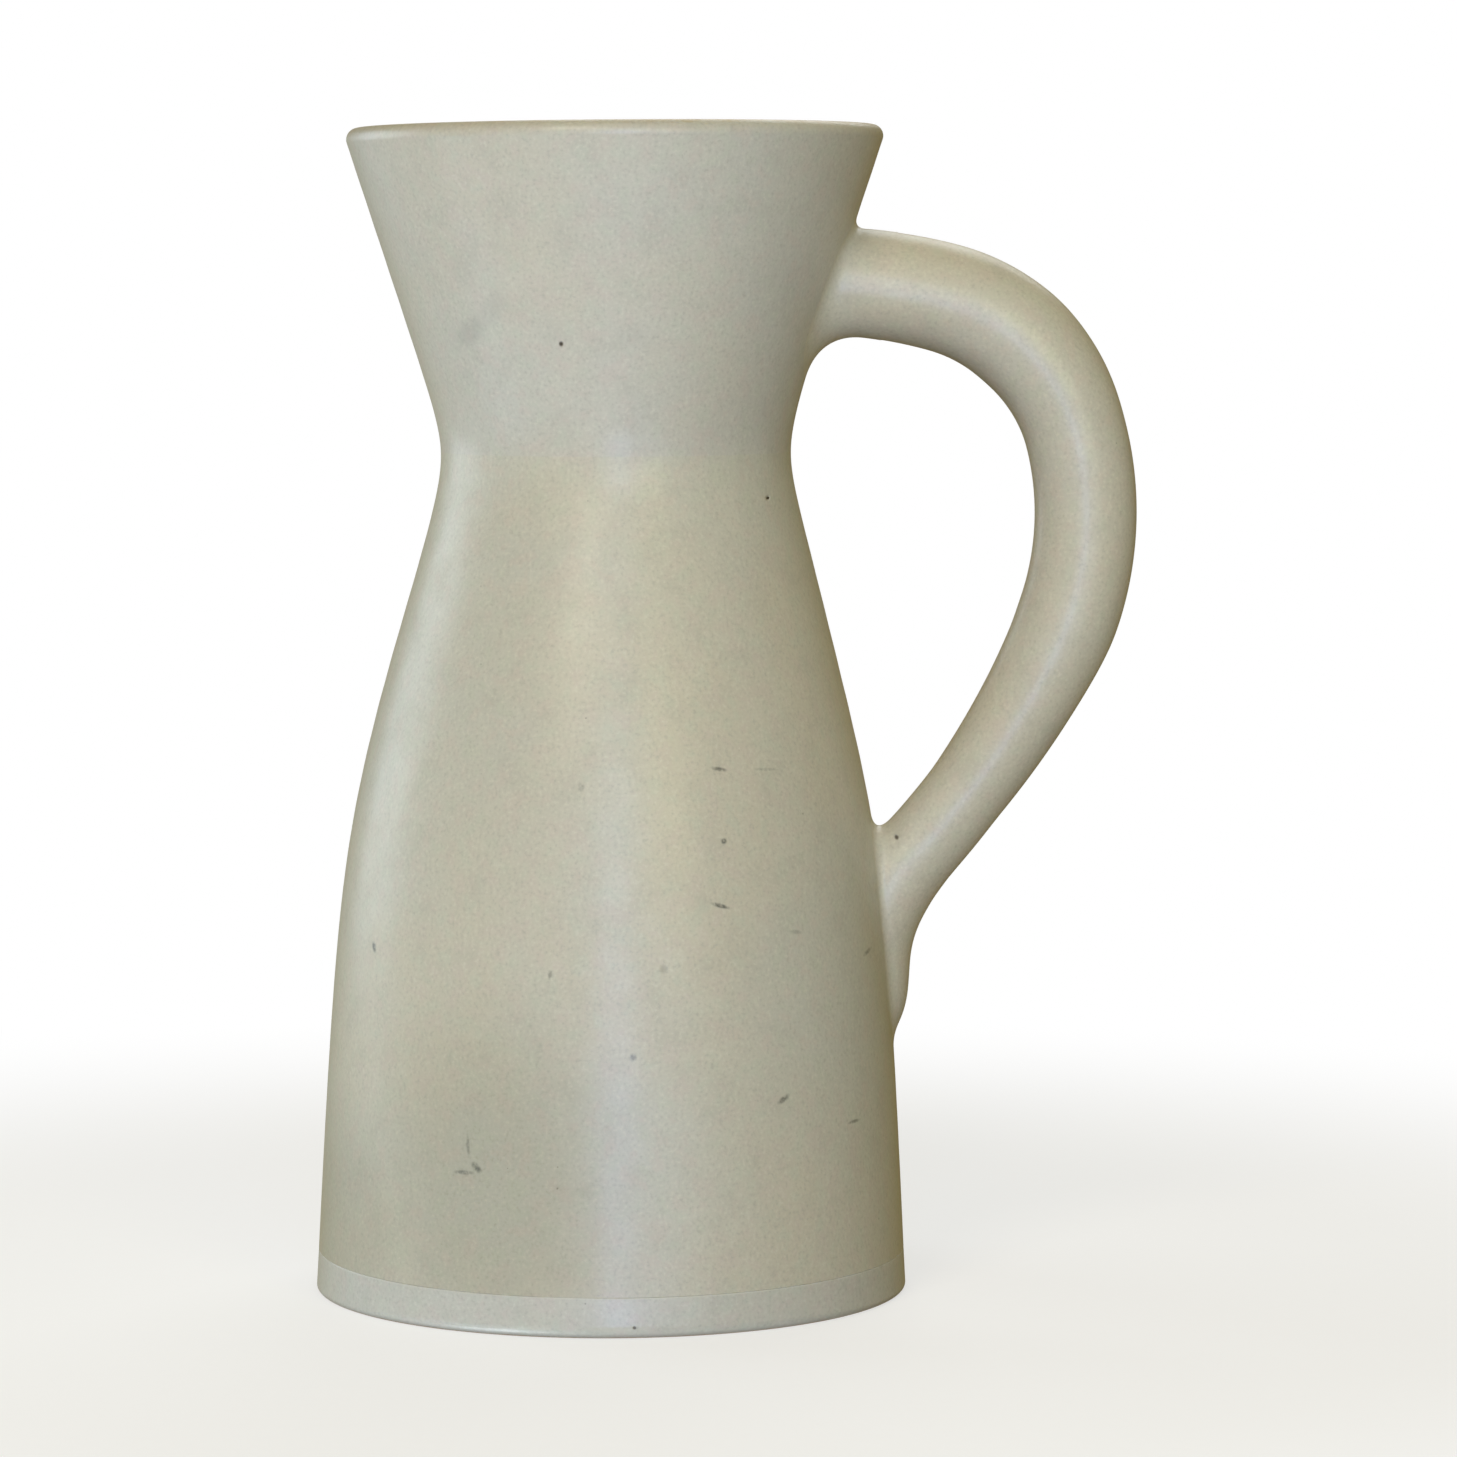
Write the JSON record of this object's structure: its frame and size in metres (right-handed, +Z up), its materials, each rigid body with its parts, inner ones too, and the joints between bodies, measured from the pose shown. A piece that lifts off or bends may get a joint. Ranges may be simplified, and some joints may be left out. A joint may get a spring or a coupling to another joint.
{
  "type": "water jug",
  "caption": "Tall ceramic water jug with a bell-shaped lower wall, a narrow waist, a wide flared neck with a rounded rim and a round-section ear handle.",
  "frame": {"origin": "middle of the flat foot, on the jug's axis, in the plane that the jug stands on", "axes": "+Z up the jug's axis, +X from the axis towards the handle, +Y away from the viewer who has the handle on the right"},
  "size_m": [0.2058, 0.1486, 0.29],
  "materials": {
    "wall_glaze": "satin putty-white glaze, faintly mottled, thin and ochre along the rim",
    "handle_glaze": "satin putty-white glaze, slightly warmer and thinner than on the wall",
    "foot_glaze": "satin pale glaze on the foot band, wiped off the bare clay underneath",
    "inner_glaze": "satin putty-white liner glaze"
  },
  "bodies": {
    "root": {"base_disc": "foot_glaze", "base_coil": "inner_glaze", "lower_wall": "wall_glaze", "neck_collar": "wall_glaze", "handle": "handle_glaze", "handle_upper_joint": "handle_glaze", "handle_lower_joint": "handle_glaze"}
  },
  "joints": []
}
